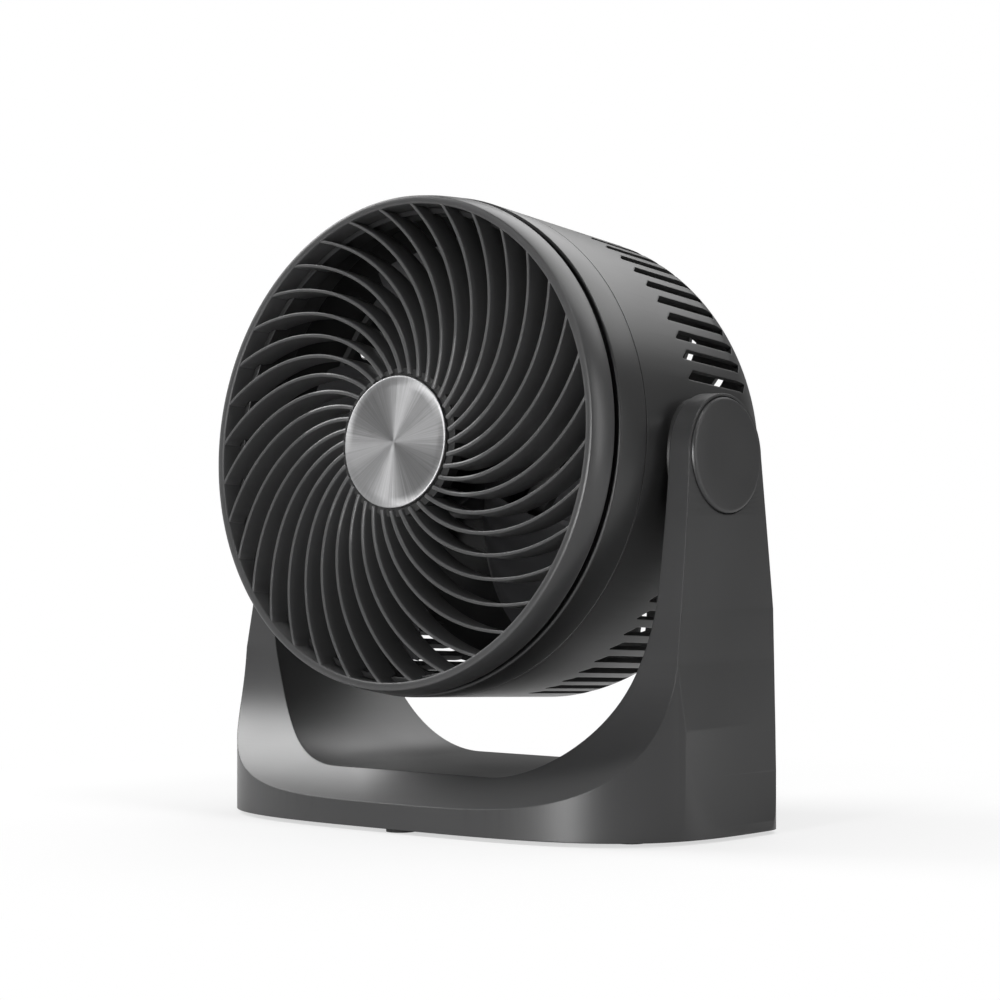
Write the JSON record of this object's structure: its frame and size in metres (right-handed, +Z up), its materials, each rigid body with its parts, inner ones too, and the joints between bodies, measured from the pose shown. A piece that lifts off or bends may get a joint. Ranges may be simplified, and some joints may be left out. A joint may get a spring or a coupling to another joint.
{
  "type": "air circulator fan",
  "caption": "Table-top air circulator fan: a round head with a spiral grille tilts in a U-shaped yoke stand.",
  "frame": {"origin": "middle of the footprint, on the surface that the feet stand on", "axes": "+Z up, the fan blows towards -Y, +X to the right seen from the front"},
  "size_m": [0.2874, 0.204, 0.3035],
  "materials": {
    "shell": "satin charcoal",
    "grille": "satin charcoal",
    "dark": "satin black",
    "fan": "satin black",
    "brushed": "radially brushed",
    "steel": "zinc plated",
    "copper": "enamelled winding",
    "rubber": "matte"
  },
  "bodies": {
    "stand": {"stand_shell": "shell", "base_plate": "dark", "base_ballast": "steel", "base_screw_1": "steel", "base_screw_2": "steel", "base_screw_3": "steel", "base_screw_4": "steel", "foot_1": "rubber", "foot_2": "rubber", "foot_3": "rubber", "foot_4": "rubber", "foot_5": "rubber", "pivot_cap_left": "shell", "pivot_cap_right": "shell", "pivot_washer_left": "rubber", "pivot_washer_right": "rubber"},
    "head": {"front_grille": "grille", "hub_disc": "brushed", "drum_front": "shell", "rear_shell": "shell", "motor_stator": "copper", "motor_can": "steel", "motor_cover": "steel", "motor_mount": "dark", "front_bearing": "steel", "rear_bearing": "steel", "speed_switch": "dark", "run_capacitor": "dark", "motor_screw_1": "steel", "motor_screw_2": "steel", "motor_screw_3": "steel", "motor_screw_4": "steel", "pivot_boss_left": "dark", "pivot_boss_right": "dark", "pivot_bolt_left": "steel", "pivot_bolt_right": "steel", "pivot_nut_left": "steel", "pivot_nut_right": "steel"},
    "impeller": {"impeller": "fan", "spinner_nut": "steel", "motor_shaft": "steel", "motor_rotor": "steel"},
    "knob": {"speed_knob": "dark"}
  },
  "joints": [
    {"name": "head_tilt", "type": "hinge", "parent": "stand", "child": "head", "pos_m": [0, -0.00953, 0.178], "axis": [-1, 0, 0], "range_deg": [-15, 40]},
    {"name": "impeller_spin", "type": "hinge", "parent": "head", "child": "impeller", "pos_m": [0, -0.04241, 0.18073], "axis": [0, -0.9966, 0.0828], "continuous": true},
    {"name": "speed_turn", "type": "hinge", "parent": "head", "child": "knob", "pos_m": [0, 0.09212, 0.16955], "axis": [0, 0.9966, -0.0828], "range_deg": [0, 270]}
  ]
}
